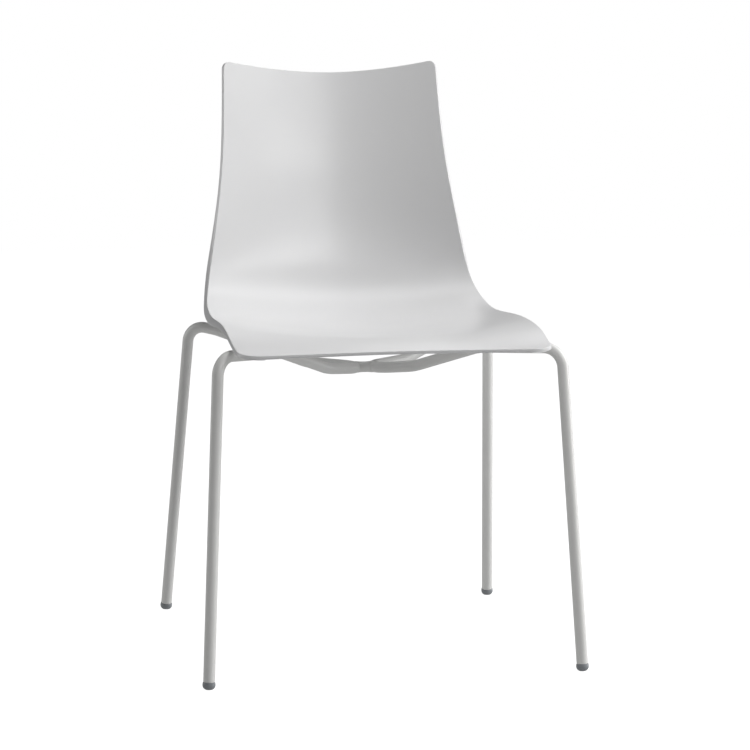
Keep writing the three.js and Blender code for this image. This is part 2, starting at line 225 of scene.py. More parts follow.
@dataclass(frozen=True)
class Finish:
    """A material made from nodes; each kind of finish fills in its own graph."""

    name: str

    def make(self) -> bpy.types.Material:
        """Build the material, or return it if it has been built."""
        if self.name in bpy.data.materials:
            return bpy.data.materials[self.name]
        material = bpy.data.materials.new(self.name)
        material.use_nodes = True
        tree = material.node_tree
        tree.nodes.clear()
        shader = self.shade(tree)
        add_node(tree, "ShaderNodeOutputMaterial", links={"Surface": shader})
        return material

    def shade(self, tree: bpy.types.NodeTree):
        """Fill the graph and return the shader's output socket."""
        raise NotImplementedError

    def mixed(self, tree, first: str, second: str, share: bpy.types.NodeSocket):
        """Colour that goes from one hex colour to another with a share."""
        settings = {"data_type": "RGBA", 6: linear(first), 7: linear(second)}
        return add_node(tree, "ShaderNodeMix", settings, {0: share}).outputs[2]

    def varied(self, tree, ends: tuple, pattern: bpy.types.NodeSocket):
        """Roughness that follows the middle tones of a pattern between two ends."""
        low, high = MIDDLE_TONES
        settings = {1: low, 2: high, 3: ends[0], 4: ends[1]}
        return add_node(tree, "ShaderNodeMapRange", settings, {"Value": pattern}).outputs["Result"]

    def embossed(self, tree, pattern: bpy.types.NodeSocket, depth: float, strength: float):
        """Surface direction pushed in and out by a pattern, to a depth in millimetres."""
        settings = {"Strength": strength, "Distance": depth * MM}
        return add_node(tree, "ShaderNodeBump", settings, {"Height": pattern}).outputs["Normal"]


@dataclass(frozen=True)
class MouldedPolymer(Finish):
    """Glass-filled technopolymer, injection moulded in a finely spark-eroded tool.

    The eye gets a soft satin surface: a broad sheen that a very fine grain breaks up, and
    long faint clouds where the melt flowed.
    """

    colour: str = "#ECECEC"
    cloud_colour: str = "#E9E9EA"
    roughness: float = 0.30
    cloud: float = 90.0  # length of the flow clouds, in mm
    grain: float = 0.9  # the real grain is 0.1 mm; drawn this coarse, in mm, so that it shows
    grain_depth: float = 0.006

    def shade(self, tree: bpy.types.NodeTree) -> bpy.types.NodeSocket:
        """Fill the graph and return the shader's output socket."""
        place = add_node(tree, "ShaderNodeTexCoord").outputs["Object"]
        cloud = add_node(
            tree,
            "ShaderNodeTexNoise",
            {"Scale": 1 / (self.cloud * MM), "Detail": 3.0, "Roughness": 0.5},
            {"Vector": place},
        ).outputs["Fac"]
        colour = self.mixed(tree, self.colour, self.cloud_colour, cloud)
        gloss = self.varied(tree, (self.roughness - 0.02, self.roughness + 0.02), cloud)
        grain = add_node(
            tree,
            "ShaderNodeTexNoise",
            {"Scale": 1 / (self.grain * MM), "Detail": 2.0, "Roughness": 0.6},
            {"Vector": place},
        ).outputs["Fac"]
        bump = self.embossed(tree, grain, self.grain_depth, 0.5)
        return add_node(
            tree,
            "ShaderNodeBsdfPrincipled",
            {"IOR": 1.5, "Specular IOR Level": 0.5},
            {"Base Color": colour, "Roughness": gloss, "Normal": bump},
        ).outputs["BSDF"]


@dataclass(frozen=True)
class PowderCoat(Finish):
    """Polyester powder coat, sprayed on steel tube and baked.

    The eye gets a satin paint with the slight orange peel that baked powder keeps.
    """

    colour: str = "#EBEBE9"
    cloud_colour: str = "#E6E6E4"
    roughness: float = 0.32
    cloud: float = 60.0
    peel: float = 2.2  # wavelength of the orange peel, in mm
    peel_depth: float = 0.015

    def shade(self, tree: bpy.types.NodeTree) -> bpy.types.NodeSocket:
        """Fill the graph and return the shader's output socket."""
        place = add_node(tree, "ShaderNodeTexCoord").outputs["Object"]
        cloud = add_node(
            tree,
            "ShaderNodeTexNoise",
            {"Scale": 1 / (self.cloud * MM), "Detail": 2.0},
            {"Vector": place},
        ).outputs["Fac"]
        colour = self.mixed(tree, self.colour, self.cloud_colour, cloud)
        gloss = self.varied(tree, (self.roughness - 0.03, self.roughness + 0.04), cloud)
        peel = add_node(
            tree,
            "ShaderNodeTexNoise",
            {"Scale": 1 / (self.peel * MM), "Detail": 1.0, "Roughness": 0.4},
            {"Vector": place},
        ).outputs["Fac"]
        bump = self.embossed(tree, peel, self.peel_depth, 0.5)
        return add_node(
            tree,
            "ShaderNodeBsdfPrincipled",
            {"IOR": 1.5, "Specular IOR Level": 0.5},
            {"Base Color": colour, "Roughness": gloss, "Normal": bump},
        ).outputs["BSDF"]


@dataclass(frozen=True)
class GlidePlastic(Finish):
    """Polyethylene, injection moulded in dark grey, for the feet.

    The eye gets a dull waxy grey, scuffed paler low down where it slides on floors.
    """

    colour: str = "#8F9397"
    scuffed_colour: str = "#B0B3B5"
    roughness: float = 0.5
    scuff: float = 1.6  # spacing of the scuffs, in mm
    scuff_height: float = 3.5  # how far up the scuffs reach, in mm
    scuff_depth: float = 0.05

    def shade(self, tree: bpy.types.NodeTree) -> bpy.types.NodeSocket:
        """Fill the graph and return the shader's output socket."""
        place = add_node(tree, "ShaderNodeTexCoord").outputs["Object"]
        height = add_node(tree, "ShaderNodeSeparateXYZ", links={"Vector": place}).outputs["Z"]
        low = add_node(
            tree,
            "ShaderNodeMapRange",
            {1: 0.0, 2: self.scuff_height * MM, 3: 1.0, 4: 0.0},
            {"Value": height},
        ).outputs["Result"]
        marks = add_node(
            tree,
            "ShaderNodeTexNoise",
            {"Scale": 1 / (self.scuff * MM), "Detail": 4.0, "Roughness": 0.65, "Distortion": 0.6},
            {"Vector": place},
        ).outputs["Fac"]
        worn = add_node(
            tree, "ShaderNodeMath", {"operation": "MULTIPLY"}, {0: marks, 1: low}
        ).outputs[0]
        colour = self.mixed(tree, self.colour, self.scuffed_colour, worn)
        gloss = self.varied(tree, (self.roughness - 0.06, self.roughness + 0.1), marks)
        bump = self.embossed(tree, marks, self.scuff_depth, 0.5)
        return add_node(
            tree,
            "ShaderNodeBsdfPrincipled",
            {"IOR": 1.51, "Specular IOR Level": 0.5},
            {"Base Color": colour, "Roughness": gloss, "Normal": bump},
        ).outputs["BSDF"]


@dataclass(frozen=True)
class WorkedMetal(Finish):
    """Small metal parts, headed or turned, then plated or left bright.

    The eye gets fine tool lines round the axis and a slightly cloudy brightness.
    """

    colour: str
    cloud_colour: str
    roughness: float = 0.3
    line: float = 0.5  # spacing of the tool lines, in mm
    line_depth: float = 0.02
    cloud: float = 4.0

    def shade(self, tree: bpy.types.NodeTree) -> bpy.types.NodeSocket:
        """Fill the graph and return the shader's output socket."""
        place = add_node(tree, "ShaderNodeTexCoord").outputs["Object"]
        cloud = add_node(
            tree,
            "ShaderNodeTexNoise",
            {"Scale": 1 / (self.cloud * MM), "Detail": 3.0},
            {"Vector": place},
        ).outputs["Fac"]
        colour = self.mixed(tree, self.colour, self.cloud_colour, cloud)
        gloss = self.varied(tree, (self.roughness - 0.08, self.roughness + 0.12), cloud)
        lines = add_node(
            tree,
            "ShaderNodeTexWave",
            {
                "bands_direction": "Z",
                "Scale": 1 / (WAVE_PERIODS * self.line * MM),
                "Distortion": 1.5,
                "Detail": 2.0,
            },
            {"Vector": place},
        ).outputs["Fac"]
        bump = self.embossed(tree, lines, self.line_depth, 0.3)
        return add_node(
            tree,
            "ShaderNodeBsdfPrincipled",
            {"Metallic": 1.0},
            {"Base Color": colour, "Roughness": gloss, "Normal": bump},
        ).outputs["BSDF"]


SHELL_FINISH = MouldedPolymer("satin moulded technopolymer")
PAINT_FINISH = PowderCoat("satin polyester powder coat")
GLIDE_FINISH = GlidePlastic("moulded polyethylene")
ZINC_FINISH = WorkedMetal("zinc plated steel", "#C9CACC", "#A9ABAE")
BRASS_FINISH = WorkedMetal("turned brass", "#C8A25A", "#B08C48", roughness=0.28)


def dress(piece: bpy.types.Object, finish: Finish) -> bpy.types.Object:
    """Give a new piece its finish and the body it rides on."""
    piece.data.materials.append(finish.make())
    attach(piece, BODY)
    LOG.info("%s: %s, %d faces", piece.name, finish.name, len(piece.data.polygons))
    return piece


# ---- moulded shell ------------------------------------------------------------------------


def smooth_line(knots: np.ndarray, values: np.ndarray, places: np.ndarray) -> np.ndarray:
    """Natural cubic curve through values at knots.

    Args:
        knots: increasing distances.
        values: one row of numbers per knot.
        places: distances to read the curve at.

    Returns:
        One row of numbers per place.
    """
    count = len(knots)
    gaps = np.diff(knots)
    system = np.eye(count)
    right = np.zeros_like(values)
    for k in range(1, count - 1):
        system[k, k - 1 : k + 2] = gaps[k - 1], 2 * (gaps[k - 1] + gaps[k]), gaps[k]
        slopes = (values[k + 1] - values[k]) / gaps[k] - (values[k] - values[k - 1]) / gaps[k - 1]
        right[k] = 6 * slopes
    bend = np.linalg.solve(system, right)
    span = np.clip(np.searchsorted(knots, places) - 1, 0, count - 2)
    gap = gaps[span][:, None]
    before = (knots[span + 1] - places)[:, None]
    after = (places - knots[span])[:, None]
    cubic = (bend[span] * before**3 + bend[span + 1] * after**3) / (6 * gap)
    line = (values[span] / gap - bend[span] * gap / 6) * before
    return cubic + line + (values[span + 1] / gap - bend[span + 1] * gap / 6) * after


@dataclass
class SeatShell:
    """The moulded seat and back, as sections from the front edge up to the top edge.

    Each section is (half width, side y, side z, middle y, middle z, depth of the edge).
    """

    sections: tuple = (
        (216.5, -263.3, 453.0, -263.3, 454.6, 6.0),
        (217.5, -234.0, 455.8, -238.0, 461.5, 5.0),
        (219.0, -205.0, 462.8, -210.0, 464.0, 4.5),
        (219.0, -163.0, 471.5, -163.0, 462.5, 5.0),
        (217.0, -102.0, 476.5, -102.0, 457.5, 7.0),
        (215.0, -40.0, 475.5, -38.0, 453.0, 9.5),
        (211.7, 22.0, 472.6, 27.0, 450.5, 11.0),
        (209.6, 64.0, 473.2, 74.0, 452.5, 12.5),
        (208.0, 95.0, 478.0, 110.0, 458.5, 13.5),
        (205.5, 118.0, 485.7, 145.0, 473.0, 13.8),
        (201.0, 140.0, 498.5, 172.0, 498.0, 13.5),
        (197.0, 154.0, 514.0, 184.0, 518.0, 12.5),
        (192.8, 162.0, 533.0, 193.0, 540.0, 11.0),
        (184.0, 172.5, 583.0, 206.0, 587.0, 7.0),
        (172.0, 189.5, 660.0, 220.0, 661.0, 5.0),
        (165.3, 208.5, 730.0, 233.0, 728.0, 5.0),
        (160.8, 232.5, 830.3, 248.0, 811.4, 4.5),
    )
    thickness: float = 4.5
    dish_power: tuple = (1.7, 1.85)  # of the seat, and of the back
    front_corner: float = 29.0
    top_corner: float = 10.0
    edge_round: float = 0.8
    rim_width: float = 4.0
    rim_flare: float = 1.5
    lip_undercut: float = 3.0  # how far the front edge's foot stands back from its top
    crest_height: float = 2.0  # of the soft ridge where the seat rolls over into its front lip
    crest_reach: float = 35.0
    crest_round: float = 7.0
    crest_place: float = -203.0  # its y on the centre line
    crest_sweep: float = 95.0  # how far back it runs towards the sides
    fairing: float = 18.0  # reach of the smoothing along the shell
    row_step: float = 3.5
    column_step: float = 9.0

    def __post_init__(self) -> None:
        """Fair the section lines into smooth curves."""
        table = np.array(self.sections)
        steps = np.hypot(np.diff(table[:, 3]), np.diff(table[:, 4]))
        knots = np.concatenate([[0], np.cumsum(steps)])
        self.length = knots[-1]
        self.places = np.linspace(0, self.length, int(self.length) + 1)
        raw = smooth_line(knots, table, self.places)
        first = self.blurred(raw)
        self.lines = first + self.blurred(raw - first)
        self.lines += self.end_correction(raw)

    def blurred(self, lines: np.ndarray) -> np.ndarray:
        """Average each line over the fairing's reach, carried on past both ends."""
        reach = int(3 * self.fairing)
        offsets = np.arange(-reach, reach + 1)
        weights = np.exp(-0.5 * (offsets / self.fairing) ** 2)
        weights /= weights.sum()
        before = 2 * lines[0] - lines[reach:0:-1]
        after = 2 * lines[-1] - lines[-2 : -reach - 2 : -1]
        padded = np.vstack([before, lines, after])
        return np.stack([np.convolve(column, weights, "valid") for column in padded.T], axis=1)

    def end_correction(self, raw: np.ndarray) -> np.ndarray:
        """What brings the faired lines back to the given ends."""
        share = np.linspace(0, 1, len(raw))[:, None]
        return (1 - share) * (raw[0] - self.lines[0]) + share * (raw[-1] - self.lines[-1])

    def line(self, column: int, along: np.ndarray) -> np.ndarray:
        """Read one of the faired section values at distances along the shell."""
        return np.interp(along, self.places, self.lines[:, column])

    def half_width(self, along: np.ndarray, inset: float) -> np.ndarray:
        """Half width of the outline drawn in by an inset, with its rounded corners."""
        half = self.line(0, along) - inset
        for radius, distance in (
            (self.front_corner, along),
            (self.top_corner, self.length - along),
        ):
            curve = radius - inset
            into = np.clip(radius - distance, 0, curve)
            half = half - (curve - np.sqrt(np.maximum(curve**2 - into**2, 0)))
        return half

    def surface(self, along: np.ndarray, out: np.ndarray) -> np.ndarray:
        """Points of the upper face.

        Args:
            along: distances from the front edge, in any shape.
            out: distances from the centre line, in the same shape.

        Returns:
            The points, with one more axis.
        """
        share = np.clip((along / self.length - 0.5) / 0.2, 0, 1)
        seat, back = self.dish_power
        power = seat + (back - seat) * share * share * (3 - 2 * share)
        rise = np.abs(out / self.line(0, along)) ** power
        y = self.line(3, along) + (self.line(1, along) - self.line(3, along)) * rise
        z = self.line(4, along) + (self.line(2, along) - self.line(4, along)) * rise
        seat = along < self.length / 2
        return np.stack([out, y, z + np.where(seat, self.crest(out, y), 0)], axis=-1)

    def crest(self, out: np.ndarray, y: np.ndarray) -> np.ndarray:
        """Height added by the roll-over ridge, which fades out at the sides."""
        share = np.abs(out) / self.sections[0][0]
        behind = y - (self.crest_place + self.crest_sweep * share**1.6)
        fall = np.hypot(behind, self.crest_round) - self.crest_round
        return self.crest_height * np.exp(-fall / self.crest_reach) * np.maximum(1 - share**4, 0)

    def normals(self, along: np.ndarray, out: np.ndarray) -> np.ndarray:
        """Directions square to the upper face, out of it."""
        reach = 1.0
        run = self.surface(np.minimum(along + reach, self.length), out)
        run = run - self.surface(np.maximum(along - reach, 0), out)
        across = self.surface(along, out + reach) - self.surface(along, out - reach)
        square = np.cross(across, run)
        return square / np.linalg.norm(square, axis=-1, keepdims=True)

    def underside(self, x: np.ndarray, y: np.ndarray) -> np.ndarray:
        """Heights of the seat's lower face over places on the floor."""
        heights = []
        for out, back in zip(np.abs(x), y):
            line = self.surface(self.places, np.full(len(self.places), out))
            heights.append(np.interp(back, line[:, 1], line[:, 2]))
        return np.array(heights) - self.thickness

    def rows(self) -> np.ndarray:
        """Distances from the front edge of the rows of points, close together at corners."""
        turn = 0.5 * math.pi * np.linspace(0, 1, 13)
        front = self.edge_round + (self.front_corner - self.edge_round) * (1 - np.cos(turn))
        top = self.edge_round + (self.top_corner - self.edge_round) * (1 - np.cos(turn[::2]))
        start, stop = self.front_corner, self.length - self.top_corner
        middle = np.linspace(start, stop, int((stop - start) / self.row_step) + 1)
        return np.concatenate([front, middle[1:-1], (self.length - top)[::-1]])

    def columns(self, half: float) -> np.ndarray:
        """Distances from the centre line of one row's points, close together over the rim."""
        band = self.rim_width + 3.0
        near = np.linspace(half, half - band, 9)
        count = int(2 * 150 / self.column_step)
        spread = np.linspace(-1, 1, count)[1:-1] * (half - band)
        return np.concatenate([-near, spread, near[::-1]])

    def depth(self, along: np.ndarray, out: np.ndarray, half: np.ndarray) -> np.ndarray:
        """Depth of the lower face under the upper: deep over the rim and thin inside it."""
        inside = half - np.abs(out) + self.edge_round
        share = np.clip((inside - self.rim_width) / 2.0, 0, 1)
        share = share * share * (3 - 2 * share)
        rim = self.line(5, along)
        return rim + (self.thickness - rim) * share

    def build(self) -> tuple:
        """Build the closed sheet with its rounded edges.

        Returns:
            The points and the faces.
        """
        rows = self.rows()
        halves = self.half_width(rows, self.edge_round)
        out = np.array([self.columns(half) for half in halves])
        along = np.repeat(rows[:, None], out.shape[1], axis=1)
        upper = self.surface(along, out)
        square = self.normals(along, out)
        lower = upper - square * self.depth(along, out, halves[:, None])[..., None]
        count_rows, count_columns = out.shape
        loop = self.outline(count_rows, count_columns)
        edge_points = upper.reshape(-1, 3)[loop]
        edge_square = square.reshape(-1, 3)[loop]
        ahead = np.roll(edge_points, -1, axis=0) - np.roll(edge_points, 1, axis=0)
        outward = np.cross(ahead, edge_square)
        outward /= np.linalg.norm(outward, axis=1, keepdims=True)
        rim = self.line(5, along.reshape(-1)[loop])
        rings = self.edge_rings(edge_points, edge_square, outward, rim)
        points = np.vstack([upper.reshape(-1, 3), lower.reshape(-1, 3), *rings])
        size = count_rows * count_columns
        faces = grid_faces(count_rows, count_columns)
        faces += [face[::-1] for face in grid_faces(count_rows, count_columns, size)]
        chain = [loop]
        chain += [2 * size + k * len(loop) + np.arange(len(loop)) for k in range(len(rings))]
        chain.append(loop + size)
        for near, far in zip(chain, chain[1:]):
            for k in range(len(loop)):
                after = (k + 1) % len(loop)
                faces.append([near[k], near[after], far[after], far[k]])
        return points, faces

    def outline(self, rows: int, columns: int) -> np.ndarray:
        """Numbers of the grid's edge points, in order round the outline."""
        front = np.arange(columns)
        right = np.arange(1, rows) * columns + columns - 1
        top = (rows - 1) * columns + np.arange(columns - 2, -1, -1)
        left = np.arange(rows - 2, 0, -1) * columns
        return np.concatenate([front, right, top, left])

    def edge_rings(self, points, square, outward, rim) -> list:
        """Rings of points from the upper face round the edge to the lower face."""
        corner = self.edge_round
        lower_corner = corner * 0.7
        rings = []
        for turn in np.radians([22.5, 45, 67.5, 90]):
            rings.append((corner * math.sin(turn), np.full(len(rim), corner * (1 - math.cos(turn)))))
        for turn in np.radians([0, 30, 60, 90]):
            reach = corner - lower_corner * (1 - math.cos(turn))
            rings.append((reach, rim - lower_corner * (1 - math.sin(turn))))
        slant = self.rim_flare * outward[:, 0] ** 2
        slant -= self.lip_undercut * np.maximum(-outward[:, 1], 0) ** 2
        made = []
        for reach, down in rings:
            lean = slant * down / rim
            made.append(points + outward * (reach + lean)[:, None] - square * down[:, None])
        return made

    def make(self, posts: list) -> bpy.types.Object:
        """Build the shell, dress it and let it stand for its solid.

        Args:
            posts: (points, faces) pairs of the posts moulded under the seat.

        Returns:
            The finished piece.
        """
        piece = make_object("seat_and_back", *joined(self.build(), *posts))
        dress(piece, SHELL_FINISH)
        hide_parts("seat_shell")
        return piece


# ---- bent tube ----------------------------------------------------------------------------


@dataclass
class TubeRoute:
    """Straight runs joined by round bends: corner points with a radius each, in mm."""

    corners: list
    step: float = 3.0  # degrees between rings round a bend

    def stations(self) -> tuple:
        """Places along the route and the directions there.

        Returns:
            Two arrays: points, and unit directions.
        """
        places = [Vector(point) for point, _ in self.corners]
        points = [places[0]]
        directions = [(places[1] - places[0]).normalized()]
        for index in range(1, len(places) - 1):
            radius = self.corners[index][1]
            before = (places[index] - places[index - 1]).normalized()
            after = (places[index + 1] - places[index]).normalized()
            turn = before.angle(after)
            start = places[index] - before * radius * math.tan(turn / 2)
            axis = before.cross(after).normalized()
            centre = start + axis.cross(before) * radius
            count = max(4, math.ceil(math.degrees(turn) / self.step))
            for number in range(count + 1):
                spin = Matrix.Rotation(turn * number / count, 3, axis)
                points.append(centre + spin @ (start - centre))
                directions.append(spin @ before)
        points.append(places[-1])
        directions.append((places[-1] - places[-2]).normalized())
        return np.array(points), np.array(directions)


def swept(route: TubeRoute, radius: float, bore: float = 0.0, sides: int = 40) -> tuple:
    """A closed tube along a route.

    Args:
        route: the run of its centre line.
        radius: its outer radius.
        bore: its inner radius, or 0 for a solid bar.
        sides: number of flats round it.

    Returns:
        The points and the faces.
    """
    points, directions = route.stations()
    normal = Vector(directions[0]).orthogonal().normalized()
    rings = []
    angles = np.linspace(0, 2 * math.pi, sides, endpoint=False)
    for index, direction in enumerate(directions):
        direction = Vector(direction)
        if index:
            normal = Vector(directions[index - 1]).rotation_difference(direction) @ normal
        across = direction.cross(normal)
        spoke = np.outer(np.cos(angles), normal) + np.outer(np.sin(angles), across)
        rings.append((points[index], spoke))
    outer = np.vstack([place + radius * spoke for place, spoke in rings])
    count = len(rings)
    faces = grid_faces(count, sides, wrap=True)
    last = (count - 1) * sides
    if not bore:
        faces += [list(range(sides))[::-1], list(range(last, last + sides))]
        return outer, faces
    inner = np.vstack([place + bore * spoke for place, spoke in rings])
    start = len(outer)
    faces += [face[::-1] for face in grid_faces(count, sides, start, wrap=True)]
    for ring in (0, last):
        for column in range(sides):
            after = (column + 1) % sides
            faces.append([ring + column, ring + after, start + ring + after, start + ring + column])
    return np.vstack([outer, inner]), faces


@dataclass
class TubeFrame:
    """The welded frame: two side frames, the spreader between them and four foot caps."""

    radius: float = 8.0
    wall: float = 1.5
    leg_bend: float = 28.0
    dip_bend: float = 70.0
    apex_bend: float = 35.0
    front_foot: tuple = (261.9, -254.0, 0.0)
    front_corner: tuple = (239.2, -212.0, 447.0)
    front_dip: tuple = ((140.0, -136.0, 441.0), (62.0, -68.0, 407.0))
    apex: tuple = (-16.0, -23.0, 399.8)
    rear_dip: tuple = ((72.0, 38.0, 402.5), (190.0, 129.0, 441.0))
    rear_corner: tuple = (226.0, 157.0, 447.5)
    rear_foot: tuple = (251.8, 256.2, 0.0)
    cap_height: float = 9.9
    cap_radius: float = 8.9
    cap_rim: float = 8.3
    cap_belly: float = 6.2
    cap_sole: float = 1.5
    cap_sink: float = 0.7  # how far its round end is cut off by the floor
    joint_gap: float = 0.3
    spreader_radius: float = 7.7
    bead: float = 0.6  # height of the spreader's weld
    weld_sink: float = 0.5  # how far a weld runs into a tube

    def leg(self, end: End) -> tuple:
        """A leg's foot and corner points."""
        if end is End.FRONT:
            return Vector(self.front_foot), Vector(self.front_corner)
        return Vector(self.rear_foot), Vector(self.rear_corner)

    def route(self) -> TubeRoute:
        """The whole run of the right side frame."""
        ends = {}
        for end in End:
            foot, corner = self.leg(end)
            ends[end] = foot.lerp(corner, (self.cap_height + self.joint_gap) / corner.z)
        return TubeRoute(
            [
                (ends[End.FRONT], 0),
                (self.front_corner, self.leg_bend),
                (self.front_dip[0], self.dip_bend),
                (self.front_dip[1], self.dip_bend),
                (self.apex, self.apex_bend),
                (self.rear_dip[0], self.dip_bend),
                (self.rear_dip[1], self.dip_bend),
                (self.rear_corner, self.leg_bend),
                (ends[End.REAR], 0),
            ]
        )

    def make_side(self, side: Side) -> bpy.types.Object:
        """Build one bent side frame."""
        part = swept(self.route(), self.radius, self.radius - self.wall)
        piece = make_object(f"bent_tube_{side.word}", *mirrored(part, side))
        dress(piece, PAINT_FINISH)
        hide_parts(f"side_frame_{side.word}")
        return piece

    def make_cap(self, end: End, side: Side) -> bpy.types.Object:
        """Build one foot cap."""
        foot, corner = self.leg(end)
        sink = self.cap_sink
        profile = [(0, -sink), (self.cap_sole, -sink)]
        for turn in np.radians(np.arange(6, 91, 6)):
            out = self.cap_sole + (self.cap_radius - self.cap_sole) * math.sin(turn)
            profile.append((out, self.cap_belly - (self.cap_belly + sink) * math.cos(turn)))
        stem = self.radius - self.wall - 0.4
        profile += [
            (self.cap_radius - 0.1, (self.cap_belly + self.cap_height) / 2),
            (self.cap_rim + 0.2, self.cap_height - 0.25),
            (self.cap_rim, self.cap_height),
            (stem, self.cap_height),
            (stem, self.cap_height + 22),
            (0, self.cap_height + 22),
        ]
        points, faces = lathed(profile)
        tilt = Vector((0, 0, 1)).rotation_difference(corner - foot).to_matrix()
        points = points @ np.array(tilt).T + np.array(foot)
        points[:, 2] = np.maximum(points[:, 2], 0)
        name = f"glide_{end.value}_{side.word}"
        piece = make_object(name, *mirrored((points, faces), side))
        dress(piece, GLIDE_FINISH)
        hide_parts(f"foot_cap_{end.value}_{side.word}")
        return piece

    def make_spreader(self) -> bpy.types.Object:
        """Build the short bar between the two bends, with its weld all round at both ends."""
        places, _ = self.route().stations()
        apex = places[np.argmin(places[:, 0])]
        around = np.linspace(0, 2 * math.pi, 72, endpoint=False)
        outer_bend = self.apex_bend + self.radius
        rings = []
        for share in np.concatenate([np.linspace(-1, -0.3, 13), np.linspace(0.3, 1, 13)]):
            bead = math.exp(-(((abs(share) - 0.8) / 0.28) ** 2))
            ripple = 0.13 * np.sin(17 * around + 5 * share)
            radius = self.spreader_radius + bead * (self.bead + ripple)
            across, up = radius * np.cos(around), radius * np.sin(around)
            lift = np.sqrt(np.maximum(self.radius**2 - up**2, 0)) - self.radius
            reach = np.sqrt((outer_bend + lift) ** 2 - across**2) - outer_bend
            face = apex[0] - self.radius - reach + self.weld_sink
            rings.append(np.stack([share * face, apex[1] + across, apex[2] + up], axis=1))
        piece = make_object("spreader_bar", *lofted(rings))
        dress(piece, PAINT_FINISH)
        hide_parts("centre_spreader")
        return piece

    def make(self) -> None:
        """Build the whole frame."""
        self.make_spreader()
        for side in Side:
            self.make_side(side)
            for end in End:
                self.make_cap(end, side)


